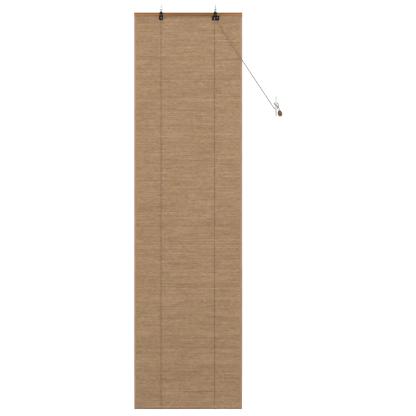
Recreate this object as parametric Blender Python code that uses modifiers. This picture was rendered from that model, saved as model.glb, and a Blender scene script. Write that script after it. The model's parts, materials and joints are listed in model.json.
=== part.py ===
"""Woven bamboo roll-up blind: hooks, battens, pulleys, a mat that rolls up in sections, cords and a cleat.

Metres, +Z up. The origin is on the ceiling plane, midway between the two hooks. +X runs to the right along
the battens and +Y runs away from the room, towards the window.
"""

import math

import bmesh
import bpy

# Whole blind
WIDTH = 0.600
DROP = 2.2223
GAP = 0.0003
HALF_SPAN = 0.150

# Battens and mat, front to back
BATTEN_TOP = -0.022
BATTEN_HEIGHT = 0.018
BATTEN_DEPTH = 0.008
BATTEN_FRONT_Y = 0.003
MAT_THICK = 0.0024
MAT_FRONT_Y = BATTEN_FRONT_Y + BATTEN_DEPTH + GAP
MAT_BACK_Y = MAT_FRONT_Y + MAT_THICK
MAT_MID_Y = MAT_FRONT_Y + MAT_THICK / 2
REAR_FRONT_Y = MAT_BACK_Y + GAP
BATTEN_BOTTOM = BATTEN_TOP - BATTEN_HEIGHT

# The mat rolls up into a square spiral: every second side is one pitch shorter
FIRST_FOLD_Z = -0.160
MAT_TOP_Z = -0.024
SECTIONS = 24
ROLL_PITCH = 0.005

# Bottom rod and its end caps
ROD_RADIUS = 0.0026
ROD_END_X = 0.299
CAP_RADIUS = 0.0036
CAP_LENGTH = 0.007
CAP_FLOOR = 0.0007

# Screw hooks, and hangers with a wire rim and a solid web below the eye
THREAD_LENGTH = 0.025
THREAD_RADIUS = 0.0019
FLANGE_RADIUS = 0.0095
FLANGE_HEIGHT = 0.006
HOOK_WIRE = 0.0014
HOOK_BOWL = 0.0045
HOOK_BOWL_Z = -0.0115
LOOP_WIRE = 0.0012
LOOP_APEX_Z = HOOK_BOWL_Z - HOOK_BOWL + HOOK_WIRE + GAP + LOOP_WIRE
LOOP_BASE_Z = -0.030
LOOP_HALF_BASE = 0.0095
WEB_TOP = (0.0047, -0.0184)
WEB_BOTTOM = (0.0092, -0.0270)
WEB_THICK = 0.0012

# Brackets that hold the hangers on the front batten
BRACKET_HALF_WIDTH = 0.0072
BRACKET_FOOT_HALF_WIDTH = 0.010
BRACKET_FOOT_TOP = -0.0352
CURL_INNER = LOOP_WIRE + GAP
CURL_OUTER = BATTEN_FRONT_Y - GAP
BRACKET_BOTTOM = -0.0395
SCREW_Z = -0.0362
SHANK_RADIUS = 0.0011
SHANK_LENGTH = 0.0075
HOLE_RADIUS = SHANK_RADIUS + GAP

# Pulley blocks under the front batten
BLOCK_TOP = BATTEN_BOTTOM - GAP
BLOCK_FRONT_Y = -0.002
BLOCK_BACK_Y = MAT_FRONT_Y - 0.0005
LEFT_BLOCK_X = -0.1505
LEFT_BLOCK_WIDTH = 0.021
LEFT_BLOCK_HEIGHT = 0.0222
RIGHT_BLOCK_X = 0.152
RIGHT_BLOCK_WIDTH = 0.040
RIGHT_BLOCK_HEIGHT = 0.0247
BLOCK_CORNER = 0.0045
AXLE_RADIUS = 0.00125
BORE_RADIUS = AXLE_RADIUS + GAP
LEFT_SHEAVE_Z = -0.0515
LEFT_SHEAVE_Y = 0.004
LEFT_SHEAVE_RADIUS = 0.0065
SHEAVE_WIDTH = 0.005
RIGHT_SHEAVE_X = 0.146
RIGHT_SHEAVE_Y = 0.0044
RIGHT_SHEAVE_Z = -0.0545
RIGHT_SHEAVE_RADIUS = 0.0062
ROLLER_X = 0.1615
ROLLER_Z = -0.0525
ROLLER_RADIUS = 0.0082
ROLLER_FRONT_Y = -0.0017
ROLLER_WIDTH = 0.0068
CROSS_CORD_Z = -0.0447
CROSS_CORD_Y = 0.004
OUTLET_X = 0.1568
OUTLET_Y = 0.0016
OUTLET_SIZE = (0.0062, 0.0056, 0.014)

# Lift cords: the rear run stands to the right of the front one, so the rolled-up mat clears both
LIFT_RADIUS = 0.0010
LIFT_LEFT_X = -0.1505
LIFT_RIGHT_X = 0.146
REAR_SHIFT = 0.004
ANCHOR_DEPTH = 0.006
ROD_TURN_STEPS = 10

# Pull cord: a tight run to the cleat, then its turns on the horns, chosen by hand
PULL_RADIUS = 0.0024
PULL_SPACING = 0.0042
TAUT_STEPS = 36
TAUT_SAG = 0.003
PULL_ARRIVAL = (0.4740, 0.0055, -0.5490)
PULL_WOUND = [
    (0.4790, 0.0108, -0.5535),
    (0.4865, 0.0125, -0.5550),
    (0.4944, 0.0102, -0.5530),
    (0.4962, 0.0040, -0.5475),
    (0.4932, -0.0008, -0.5415),
    (0.4865, -0.0020, -0.5365),
    (0.4793, -0.0010, -0.5315),
    (0.4767, 0.0045, -0.5265),
    (0.4795, 0.0108, -0.5228),
    (0.4865, 0.0128, -0.5215),
    (0.4942, 0.0105, -0.5235),
    (0.4980, 0.0045, -0.5290),
    (0.5000, 0.0005, -0.5380),
    (0.5018, -0.0010, -0.5480),
]

# Cleat on the wall or window frame
CLEAT_X = 0.4865
CLEAT_Z = -0.5415
CLEAT_WIDTH = 0.011
WALL_Y = 0.024
CLEAT_SEAT_Y = 0.0205
CLEAT_SCREW_STEP = 0.0165
CLEAT_SHANK_RADIUS = 0.0015
CLEAT_SHANK_LENGTH = 0.016

# Tassel
TASSEL_TOP = (0.5030, -0.0015, -0.5575)
TASSEL_TILT = math.radians(12)
TASSEL_RADIUS = 0.0125

ALONG_Y = (math.radians(90), 0, 0)
ALONG_X = (0, math.radians(90), 0)
SIDE_OUTLINE = (math.radians(90), 0, math.radians(90))


def collection(name):
    """A new collection in the scene."""
    made = bpy.data.collections.new(name)
    bpy.context.scene.collection.children.link(made)
    return made


def material(name, color, roughness, metallic=0.0):
    """A Principled material."""
    made = bpy.data.materials.new(name)
    made.use_nodes = True
    shader = made.node_tree.nodes["Principled BSDF"]
    shader.inputs["Base Color"].default_value = (*color, 1.0)
    shader.inputs["Roughness"].default_value = roughness
    shader.inputs["Metallic"].default_value = metallic
    return made


def place(obj, group, location=(0, 0, 0), rotation=(0, 0, 0), finish=None):
    """Links an object, places it and gives it its material."""
    group.objects.link(obj)
    obj.location = location
    obj.rotation_euler = rotation
    if finish:
        obj.data.materials.append(finish)
    return obj


def smooth(mesh, angle=35):
    """Round faces smooth, with sharp edges kept."""
    mesh.shade_smooth()
    mesh.set_sharp_from_angle(angle=math.radians(angle))


def bevel(obj, width, segments=2):
    """Rounds an object's edges."""
    modifier = obj.modifiers.new("Bevel", "BEVEL")
    modifier.width = width
    modifier.segments = segments
    modifier.limit_method = "ANGLE"


def box(name, group, size, center, location=(0, 0, 0), finish=None):
    """A box of a size, with its centre at a place in the object's own frame."""
    mesh = bpy.data.meshes.new(name)
    shape = bmesh.new()
    bmesh.ops.create_cube(shape, size=1.0)
    bmesh.ops.scale(shape, verts=shape.verts, vec=size)
    bmesh.ops.translate(shape, verts=shape.verts, vec=center)
    shape.to_mesh(mesh)
    shape.free()
    return place(bpy.data.objects.new(name, mesh), group, location, finish=finish)


def turned(name, group, profile, location, rotation=(0, 0, 0), finish=None, closed=False, steps=24):
    """A turned piece: a profile of (radius, height) points, from the top down the outside."""
    mesh = bpy.data.meshes.new(name)
    edges = [(i, i + 1) for i in range(len(profile) - 1)]
    if closed:
        edges.append((len(profile) - 1, 0))
    mesh.from_pydata([(r, 0, z) for r, z in profile], edges, [])
    obj = place(bpy.data.objects.new(name, mesh), group, location, rotation, finish)
    screw = obj.modifiers.new("Screw", "SCREW")
    screw.axis = "Z"
    screw.angle = math.tau
    screw.steps = steps
    screw.render_steps = steps
    screw.use_merge_vertices = True
    screw.merge_threshold = 0.00001
    screw.use_smooth_shade = True
    return obj


def cylinder(name, group, radius, length, location, rotation=(0, 0, 0)):
    """A plain cylinder, centred on its place."""
    mesh = bpy.data.meshes.new(name)
    shape = bmesh.new()
    bmesh.ops.create_cone(
        shape, cap_ends=True, segments=24, radius1=radius, radius2=radius, depth=length
    )
    shape.to_mesh(mesh)
    shape.free()
    return place(bpy.data.objects.new(name, mesh), group, location, rotation)


def wire(name, group, points, radius, finish=None, cyclic=False, resolution=2):
    """A round wire or cord along a list of points."""
    data = bpy.data.curves.new(name, "CURVE")
    data.dimensions = "3D"
    data.bevel_depth = radius
    data.bevel_resolution = resolution
    data.use_fill_caps = not cyclic
    spline = data.splines.new("POLY")
    spline.points.add(len(points) - 1)
    for point, co in zip(spline.points, points):
        point.co = (*co, 1.0)
    spline.use_cyclic_u = cyclic
    return place(bpy.data.objects.new(name, data), group, finish=finish)


def plate(name, group, outline, thickness, location, rotation, finish=None):
    """A flat outline, made thick."""
    data = bpy.data.curves.new(name, "CURVE")
    data.dimensions = "2D"
    data.fill_mode = "BOTH"
    data.extrude = thickness / 2
    spline = data.splines.new("POLY")
    spline.points.add(len(outline) - 1)
    for point, (u, v) in zip(spline.points, outline):
        point.co = (u, v, 0.0, 1.0)
    spline.use_cyclic_u = True
    return place(bpy.data.objects.new(name, data), group, location, rotation, finish)


def as_mesh(curve):
    """The curve object made a mesh object of the same name, with its caps welded on."""
    bpy.context.view_layer.update()
    graph = bpy.context.evaluated_depsgraph_get()
    mesh = bpy.data.meshes.new_from_object(curve.evaluated_get(graph), depsgraph=graph)
    shape = bmesh.new()
    shape.from_mesh(mesh)
    bmesh.ops.remove_doubles(shape, verts=shape.verts, dist=0.00001)
    bmesh.ops.recalc_face_normals(shape, faces=shape.faces)
    shape.to_mesh(mesh)
    shape.free()
    name, group = curve.name, curve.users_collection[0]
    matrix = curve.matrix_world.copy()
    data = curve.data
    bpy.data.objects.remove(curve)
    bpy.data.curves.remove(data)
    made = bpy.data.objects.new(name, mesh)
    group.objects.link(made)
    made.matrix_world = matrix
    return made


def combine(obj, other, operation):
    """Cuts another object away from this one, or joins it on."""
    other.hide_render = True
    other.display_type = "WIRE"
    modifier = obj.modifiers.new(other.name, "BOOLEAN")
    modifier.operation = operation
    modifier.solver = "EXACT"
    modifier.object = other


def arc(center, radius, start, end, steps):
    """Points along an arc, its angles in degrees."""
    angles = [math.radians(start + (end - start) * i / steps) for i in range(steps + 1)]
    return [
        (center[0] + radius * math.cos(a), center[1] + radius * math.sin(a)) for a in angles
    ]


def rounded(width, height, radius, steps=5):
    """A rounded rectangle's outline, its top edge at zero height."""
    u, v = width / 2 - radius, height - radius
    return (
        arc((u, -radius), radius, 90, 0, steps)
        + arc((u, -v), radius, 0, -90, steps)
        + arc((-u, -v), radius, -90, -180, steps)
        + arc((-u, -radius), radius, 180, 90, steps)
    )


def smooth_route(points, spacing):
    """Points about a spacing apart on a smooth curve through a route's own points."""
    ends = [points[0], *points, points[-1]]
    route = []
    for i in range(len(points) - 1):
        a, b, c, d = ends[i : i + 4]
        count = max(1, round(math.dist(b, c) / spacing))
        for k in range(count):
            t = k / count
            route.append(tuple(catmull(a[n], b[n], c[n], d[n], t) for n in range(3)))
    return [*route, tuple(points[-1])]


def catmull(a, b, c, d, t):
    """One coordinate of a Catmull-Rom curve between b and c."""
    return 0.5 * (
        2 * b + (c - a) * t + (2 * a - 5 * b + 4 * c - d) * t**2 + (3 * b - a - 3 * c + d) * t**3
    )


def section_lengths():
    """Lengths of the mat's hinged sections from the top fold down to the bottom rod."""
    half = SECTIONS // 2
    drop = DROP + FIRST_FOLD_Z
    longest = (drop + ROLL_PITCH * half * (half - 1)) / SECTIONS
    return [longest - ROLL_PITCH * (i // 2) for i in range(SECTIONS)]


def make_battens(parts, cutters, wood):
    """The two wooden battens that clamp the top of the mat."""
    size = (WIDTH, BATTEN_DEPTH, BATTEN_HEIGHT)
    height = BATTEN_TOP - BATTEN_HEIGHT / 2
    center = (0, BATTEN_FRONT_Y + BATTEN_DEPTH / 2, height)
    front = box("batten_front", parts, size, (0, 0, 0), center, wood)
    bevel(front, 0.0012)
    for side, x in (("left", -HALF_SPAN), ("right", HALF_SPAN)):
        mouth = (x, BATTEN_FRONT_Y, SCREW_Z)
        depth = SHANK_LENGTH + GAP
        hole = cylinder(f"cut_batten_{side}", cutters, HOLE_RADIUS, 2 * depth, mouth, ALONG_Y)
        combine(front, hole, "DIFFERENCE")
    rear_y = REAR_FRONT_Y + BATTEN_DEPTH / 2
    rear = box("batten_rear", parts, size, (0, 0, 0), (0, rear_y, height), wood)
    bevel(rear, 0.0012)
    for side, x in (("left", LIFT_LEFT_X), ("right", LIFT_RIGHT_X)):
        mouth = (x + REAR_SHIFT, rear_y, BATTEN_BOTTOM)
        depth = ANCHOR_DEPTH + GAP
        hole = cylinder(f"cut_anchor_{side}", cutters, LIFT_RADIUS + GAP, 2 * depth, mouth)
        combine(rear, hole, "DIFFERENCE")


def make_hook(side, x, parts, cutters, steel):
    """A screw hook: pointed thread, round flange and a bowl bent from wire."""
    profile = [
        (0, THREAD_LENGTH),
        (THREAD_RADIUS, THREAD_LENGTH - 0.006),
        (THREAD_RADIUS, 0),
        (FLANGE_RADIUS, 0),
        (FLANGE_RADIUS * 0.93, -0.0022),
        (FLANGE_RADIUS * 0.66, -0.0042),
        (FLANGE_RADIUS * 0.30, -0.0054),
        (HOOK_WIRE * 1.25, -FLANGE_HEIGHT),
        (0, -FLANGE_HEIGHT),
    ]
    hook = turned(f"hook_{side}", parts, profile, (x, 0, 0), finish=steel)
    neck = [(0, -0.003), (0, -0.0055), (0.0011, -0.0070)]
    bowl = arc((0, HOOK_BOWL_Z), HOOK_BOWL, 60, -165, 15)
    path = [(x, y, z) for y, z in neck + bowl]
    bent = as_mesh(wire(f"join_hook_{side}", cutters, path, HOOK_WIRE))
    combine(hook, bent, "UNION")


def make_loop(side, x, parts, cutters, black):
    """A triangular hanger that hangs in the hook's bowl: a round rim, with a web across it below the eye."""
    fillet = HOOK_WIRE + LOOP_WIRE + 2 * GAP
    lean = math.degrees(math.atan2(LOOP_HALF_BASE, LOOP_APEX_Z - LOOP_BASE_Z))
    low = 0.0022
    path = (
        arc((0, LOOP_APEX_Z - fillet), fillet, lean, 180 - lean, 6)
        + arc((-LOOP_HALF_BASE + low, LOOP_BASE_Z + low), low, 180 - lean, 270, 5)
        + arc((LOOP_HALF_BASE - low, LOOP_BASE_Z + low), low, 270, 360 + lean, 5)
    )
    points = [(x + u, 0, v) for u, v in path]
    rim = as_mesh(wire(f"hanger_loop_{side}", parts, points, LOOP_WIRE, black, True))
    (top, top_z), (bottom, bottom_z) = WEB_TOP, WEB_BOTTOM
    outline = [(top, top_z), (bottom, bottom_z), (-bottom, bottom_z), (-top, top_z)]
    web = plate(f"join_web_{side}", cutters, outline, WEB_THICK, (x, 0, 0), ALONG_Y)
    combine(rim, as_mesh(web), "UNION")


def make_bracket(side, x, parts, cutters, black, steel):
    """A strap with a wider foot that curls round the hanger's base, and the screw that holds it."""
    outline = (
        [(CURL_OUTER, BRACKET_BOTTOM), (CURL_OUTER, LOOP_BASE_Z)]
        + arc((0, LOOP_BASE_Z), CURL_OUTER, 15, 240, 10)
        + arc((0, LOOP_BASE_Z), CURL_INNER, 240, 15, 10)
        + [(CURL_INNER, LOOP_BASE_Z), (CURL_INNER, BRACKET_BOTTOM)]
    )
    width = 2 * BRACKET_FOOT_HALF_WIDTH
    strap = as_mesh(plate(f"bracket_{side}", parts, outline, width, (x, 0, 0), SIDE_OUTLINE, black))
    notch = (BRACKET_FOOT_HALF_WIDTH, 4 * CURL_OUTER, BRACKET_FOOT_HALF_WIDTH)
    for edge, sign in (("left", -1), ("right", 1)):
        middle = (x + sign * (BRACKET_HALF_WIDTH + notch[0] / 2), 0, BRACKET_FOOT_TOP + notch[2] / 2)
        cut = box(f"cut_bracket_{side}_{edge}", cutters, notch, (0, 0, 0), middle)
        combine(strap, cut, "DIFFERENCE")
    hole = cylinder(
        f"cut_bracket_{side}", cutters, HOLE_RADIUS, 0.006, (x, CURL_OUTER, SCREW_Z), ALONG_Y
    )
    combine(strap, hole, "DIFFERENCE")
    profile = [
        (0, 0.0014),
        (0.0011, 0.0013),
        (0.0021, 0.0007),
        (0.0024, 0),
        (SHANK_RADIUS, 0),
        (SHANK_RADIUS, -SHANK_LENGTH),
        (0, -SHANK_LENGTH - 0.001),
    ]
    seat = (x, CURL_INNER - GAP, SCREW_Z)
    turned(f"bracket_screw_{side}", parts, profile, seat, ALONG_Y, steel, steps=16)


def block(name, x, width, height, parts, black):
    """A pulley block's rounded body under the front batten."""
    depth = BLOCK_BACK_Y - BLOCK_FRONT_Y
    middle = (x, (BLOCK_BACK_Y + BLOCK_FRONT_Y) / 2, BLOCK_TOP)
    outline = rounded(width, height, BLOCK_CORNER)
    body = as_mesh(plate(name, parts, outline, depth, middle, ALONG_Y, black))
    bevel(body, 0.0008)
    return body


def sheave(name, radius, width, location, rotation, parts, finish):
    """A grooved pulley wheel with a bore, its origin on its axis."""
    half, rim, groove = width / 2, width * 0.14, radius - width * 0.30
    profile = [
        (BORE_RADIUS, half),
        (radius - 0.0003, half),
        (radius, half - 0.0003),
        (radius, half - rim),
        (groove, rim),
        (groove, -rim),
        (radius, rim - half),
        (radius, 0.0003 - half),
        (radius - 0.0003, -half),
        (BORE_RADIUS, -half),
    ]
    turned(name, parts, profile, location, rotation, finish, closed=True)


def rivet(name, head, shank, length, location, rotation, parts, finish):
    """An axle with a domed head at its front end."""
    profile = [
        (0, head * 0.38),
        (head * 0.5, head * 0.32),
        (head * 0.87, head * 0.16),
        (head, 0),
        (shank, 0),
        (shank, -length),
        (0, -length),
    ]
    turned(name, parts, profile, location, rotation, finish)


def make_left_block(parts, cutters, black, pale, steel):
    """The single pulley block on the left, its wheel turning about Y."""
    body = block("block_left", LEFT_BLOCK_X, LEFT_BLOCK_WIDTH, LEFT_BLOCK_HEIGHT, parts, black)
    top = LEFT_SHEAVE_Z + LEFT_SHEAVE_RADIUS + 0.001
    bottom = BLOCK_TOP - LEFT_BLOCK_HEIGHT - 0.002
    size = (2 * LEFT_SHEAVE_RADIUS + 0.002, SHEAVE_WIDTH + 0.001, top - bottom)
    center = (LEFT_BLOCK_X, LEFT_SHEAVE_Y, (top + bottom) / 2)
    combine(body, box("cut_left_room", cutters, size, (0, 0, 0), center), "DIFFERENCE")
    axis = (LEFT_BLOCK_X, LEFT_SHEAVE_Y, LEFT_SHEAVE_Z)
    bore = cylinder("cut_left_axle", cutters, BORE_RADIUS, 0.020, axis, ALONG_Y)
    combine(body, bore, "DIFFERENCE")
    side = (LEFT_BLOCK_X + LEFT_BLOCK_WIDTH / 2, CROSS_CORD_Y, CROSS_CORD_Z)
    outlet = cylinder("cut_left_outlet", cutters, LIFT_RADIUS + 2 * GAP, 0.0065, side, ALONG_X)
    combine(body, outlet, "DIFFERENCE")
    sheave("sheave_left", LEFT_SHEAVE_RADIUS, SHEAVE_WIDTH, axis, ALONG_Y, parts, pale)
    seat = (LEFT_BLOCK_X, BLOCK_FRONT_Y - GAP, LEFT_SHEAVE_Z)
    length = BLOCK_BACK_Y - BLOCK_FRONT_Y
    rivet("axle_left", 0.0038, AXLE_RADIUS, length, seat, ALONG_Y, parts, steel)


def make_right_block(parts, cutters, black, white, steel):
    """The double block on the right: a white wheel in a slot, about X, and a black roller, about Y."""
    body = block("block_right", RIGHT_BLOCK_X, RIGHT_BLOCK_WIDTH, RIGHT_BLOCK_HEIGHT, parts, black)
    top = RIGHT_SHEAVE_Z + RIGHT_SHEAVE_RADIUS + 0.001
    bottom = BLOCK_TOP - RIGHT_BLOCK_HEIGHT - 0.002
    size = (SHEAVE_WIDTH + 0.0012, 0.030, top - bottom)
    center = (RIGHT_SHEAVE_X, RIGHT_SHEAVE_Y, (top + bottom) / 2)
    combine(body, box("cut_slot", cutters, size, (0, 0, 0), center), "DIFFERENCE")
    axle_start, axle_end = RIGHT_SHEAVE_X - 0.009, RIGHT_SHEAVE_X + 0.0055
    bore_start = RIGHT_BLOCK_X - RIGHT_BLOCK_WIDTH / 2 - 0.001
    bore_length = axle_end + GAP - bore_start
    middle = (bore_start + bore_length / 2, RIGHT_SHEAVE_Y, RIGHT_SHEAVE_Z)
    bore = cylinder("cut_right_axle", cutters, BORE_RADIUS, bore_length, middle, ALONG_X)
    combine(body, bore, "DIFFERENCE")
    recess_depth = ROLLER_FRONT_Y + ROLLER_WIDTH + 0.0006 - BLOCK_FRONT_Y
    face = (ROLLER_X, BLOCK_FRONT_Y, ROLLER_Z)
    room = ROLLER_RADIUS + 0.0007
    recess = cylinder("cut_recess", cutters, room, 2 * recess_depth, face, ALONG_Y)
    combine(body, recess, "DIFFERENCE")
    hole = cylinder("cut_roller_axle", cutters, BORE_RADIUS, 0.030, face, ALONG_Y)
    combine(body, hole, "DIFFERENCE")
    mouth = (OUTLET_X, OUTLET_Y, bottom + OUTLET_SIZE[2] / 2)
    outlet = box("cut_outlet", cutters, OUTLET_SIZE, (0, 0, 0), mouth)
    combine(body, outlet, "DIFFERENCE")
    side = (RIGHT_BLOCK_X - RIGHT_BLOCK_WIDTH / 2, CROSS_CORD_Y, CROSS_CORD_Z)
    inlet = cylinder("cut_inlet", cutters, LIFT_RADIUS + 2 * GAP, 0.010, side, ALONG_X)
    combine(body, inlet, "DIFFERENCE")
    axis = (RIGHT_SHEAVE_X, RIGHT_SHEAVE_Y, RIGHT_SHEAVE_Z)
    sheave("sheave_right", RIGHT_SHEAVE_RADIUS, SHEAVE_WIDTH, axis, ALONG_X, parts, white)
    center = ((axle_start + axle_end) / 2, RIGHT_SHEAVE_Y, RIGHT_SHEAVE_Z)
    pin = cylinder("axle_right", parts, AXLE_RADIUS, axle_end - axle_start, center, ALONG_X)
    pin.data.materials.append(steel)
    smooth(pin.data)
    wheel = (ROLLER_X, ROLLER_FRONT_Y + ROLLER_WIDTH / 2, ROLLER_Z)
    sheave("roller_right", ROLLER_RADIUS, ROLLER_WIDTH, wheel, ALONG_Y, parts, black)
    seat = (ROLLER_X, ROLLER_FRONT_Y - GAP, ROLLER_Z)
    length = BLOCK_BACK_Y - ROLLER_FRONT_Y
    rivet("axle_roller", 0.0031, AXLE_RADIUS, length, seat, ALONG_Y, parts, steel)


def make_mat(parts, reed):
    """The fixed top of the mat and its hinged sections, each hung from the back edge of the one above."""
    height = MAT_TOP_Z - FIRST_FOLD_Z - GAP / 2
    center = (0, 0, MAT_TOP_Z - height / 2)
    size = (WIDTH, MAT_THICK, height)
    above = box("mat_top", parts, size, center, (0, MAT_MID_Y, 0), reed)
    offset = (0, MAT_THICK / 2, FIRST_FOLD_Z)
    for i, length in enumerate(section_lengths()):
        solid = length - (GAP if i < SECTIONS - 1 else ROD_RADIUS + CAP_RADIUS + 3 * GAP)
        section = box(
            f"mat_{SECTIONS - i:02d}",
            parts,
            (WIDTH, MAT_THICK, solid),
            (0, -MAT_THICK / 2, -GAP / 2 - solid / 2),
            offset,
            reed,
        )
        section.parent = above
        above = section
        offset = (0, 0, -length)
    return above


def make_bottom_rod(last_section, parts, wood, plastic):
    """The rod along the mat's lower end, with a cap on each end of it."""
    below = -section_lengths()[-1] + ROD_RADIUS + GAP
    axis = (0, -MAT_THICK / 2, below)
    rod = cylinder("bottom_rod", parts, ROD_RADIUS, 2 * ROD_END_X, axis, ALONG_X)
    rod.data.materials.append(wood)
    smooth(rod.data)
    rod.parent = last_section
    inner = ROD_RADIUS + GAP
    profile = [
        (0, 0),
        (CAP_RADIUS - 0.0004, 0),
        (CAP_RADIUS, -0.0004),
        (CAP_RADIUS, -CAP_LENGTH),
        (inner, -CAP_LENGTH),
        (inner, -CAP_FLOOR),
        (0, -CAP_FLOOR),
    ]
    outer_end = ROD_END_X + CAP_FLOOR + GAP
    for side, sign in (("left", -1), ("right", 1)):
        cap = turned(
            f"rod_cap_{side}",
            parts,
            profile,
            (sign * outer_end, axis[1], axis[2]),
            (0, sign * math.radians(90), 0),
            plastic,
        )
        cap.parent = last_section


def taut_run(start, end):
    """Points along a tight stretch of cord between two places, with a slight sag."""
    run = []
    for i in range(TAUT_STEPS + 1):
        t = i / TAUT_STEPS
        x, y, z = (a + (b - a) * t for a, b in zip(start, end))
        run.append((x, y, z - 4 * TAUT_SAG * t * (1 - t)))
    return run


def make_lift_cord(side, x, top, parts, cotton):
    """A cord from the rear batten, down behind the mat, under the rod and up in front to a block."""
    rear_x = x + REAR_SHIFT
    rod_z = -DROP + ROD_RADIUS + GAP
    around = ROD_RADIUS + GAP + LIFT_RADIUS
    front = MAT_FRONT_Y - GAP - LIFT_RADIUS
    back = MAT_BACK_Y + GAP + LIFT_RADIUS
    anchor_y = REAR_FRONT_Y + BATTEN_DEPTH / 2
    low = rod_z + 0.020
    turn = arc((MAT_MID_Y, rod_z), around, 0, -180, ROD_TURN_STEPS)
    under = [(rear_x - REAR_SHIFT * i / ROD_TURN_STEPS, y, z) for i, (y, z) in enumerate(turn)]
    path = [
        (rear_x, anchor_y, BATTEN_BOTTOM + ANCHOR_DEPTH),
        (rear_x, anchor_y, BATTEN_BOTTOM - 0.004),
        (rear_x, back, FIRST_FOLD_Z + 0.010),
        (rear_x, back, low),
        *under,
        (x, front, low),
        (x, front, FIRST_FOLD_Z + 0.010),
        top,
    ]
    wire(f"lift_cord_{side}", parts, path, LIFT_RADIUS, cotton)


def make_cords(parts, cotton):
    """The lift cords, the cord across from block to block and the pull cord wound on the cleat."""
    left_end = BLOCK_TOP - LEFT_BLOCK_HEIGHT - GAP
    right_end = BLOCK_TOP - RIGHT_BLOCK_HEIGHT - GAP
    make_lift_cord("left", LIFT_LEFT_X, (LIFT_LEFT_X, LEFT_SHEAVE_Y, left_end), parts, cotton)
    make_lift_cord(
        "right", LIFT_RIGHT_X, (LIFT_RIGHT_X, BLOCK_FRONT_Y + 0.003, right_end), parts, cotton
    )
    start = LEFT_BLOCK_X + LEFT_BLOCK_WIDTH / 2 - 0.002
    end = RIGHT_BLOCK_X - RIGHT_BLOCK_WIDTH / 2 + 0.004
    across = [(start, CROSS_CORD_Y, CROSS_CORD_Z), (end, CROSS_CORD_Y, CROSS_CORD_Z)]
    wire("cross_cord", parts, across, LIFT_RADIUS, cotton)
    start = (OUTLET_X, OUTLET_Y, right_end - 0.0016)
    end_point = (TASSEL_TOP[0], TASSEL_TOP[1], TASSEL_TOP[2] + GAP)
    points = [*taut_run(start, PULL_ARRIVAL), *PULL_WOUND, end_point]
    route = smooth_route(points, PULL_SPACING)
    wire("pull_cord", parts, route, PULL_RADIUS, cotton)


def cleat_outline():
    """The cleat's side view: foot, neck and horn of the upper half, and the same mirrored."""
    upper = [
        (WALL_Y, 0.0230),
        (CLEAT_SEAT_Y, 0.0230),
        (0.0198, 0.0100),
        (0.0170, 0.0085),
        (0.0105, 0.0085),
        (0.0085, 0.0105),
        (0.0080, 0.0160),
        (0.0082, 0.0350),
        (0.0098, 0.0530),
        (0.0085, 0.0555),
        (0.0060, 0.0550),
        (0.0030, 0.0350),
        (0.0012, 0.0150),
    ]
    return upper + [(y, -z) for y, z in reversed(upper)]


def make_cleat(parts, cutters, clear, steel):
    """The two-horned cleat and its two screws."""
    place_at = (CLEAT_X, 0, CLEAT_Z)
    body = as_mesh(
        plate("cleat", parts, cleat_outline(), CLEAT_WIDTH, place_at, SIDE_OUTLINE, clear)
    )
    bevel(body, 0.0009)
    profile = [
        (0, 0.0017),
        (0.0016, 0.0014),
        (0.0028, 0.0005),
        (0.0029, 0),
        (CLEAT_SHANK_RADIUS, 0),
        (CLEAT_SHANK_RADIUS, -CLEAT_SHANK_LENGTH),
        (0, -CLEAT_SHANK_LENGTH - 0.0035),
    ]
    for side, sign in (("upper", 1), ("lower", -1)):
        z = CLEAT_Z + sign * CLEAT_SCREW_STEP
        seat = (CLEAT_X, CLEAT_SEAT_Y - GAP - 0.0005, z)
        radius = CLEAT_SHANK_RADIUS + GAP
        hole = cylinder(f"cut_cleat_{side}", cutters, radius, 0.012, (CLEAT_X, WALL_Y, z), ALONG_Y)
        combine(body, hole, "DIFFERENCE")
        turned(f"cleat_screw_{side}", parts, profile, seat, ALONG_Y, steel, steps=16)


def make_tassel(parts, wood, rose):
    """The turned wooden tassel and the bead above it, hung on the cord's end."""
    pivot = bpy.data.objects.new("tassel_pivot", None)
    parts.objects.link(pivot)
    pivot.location = TASSEL_TOP
    pivot.rotation_euler = (0, -TASSEL_TILT, 0)
    bead = [
        (0, 0),
        (0.0026, -0.0003),
        (0.0041, -0.0018),
        (0.0044, -0.0035),
        (0.0038, -0.0053),
        (0.0024, -0.0064),
        (0, -0.0066),
    ]
    turned("tassel_bead", parts, bead, (0, 0, 0), finish=rose).parent = pivot
    radius = TASSEL_RADIUS
    acorn = [
        (0, 0),
        (0.36 * radius, -0.0004),
        (0.58 * radius, -0.0030),
        (0.80 * radius, -0.0080),
        (0.96 * radius, -0.0140),
        (radius, -0.0200),
        (0.95 * radius, -0.0255),
        (0.78 * radius, -0.0305),
        (0.48 * radius, -0.0340),
        (0, -0.0352),
    ]
    turned("tassel", parts, acorn, (0, 0, -0.0069), finish=wood).parent = pivot


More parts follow.
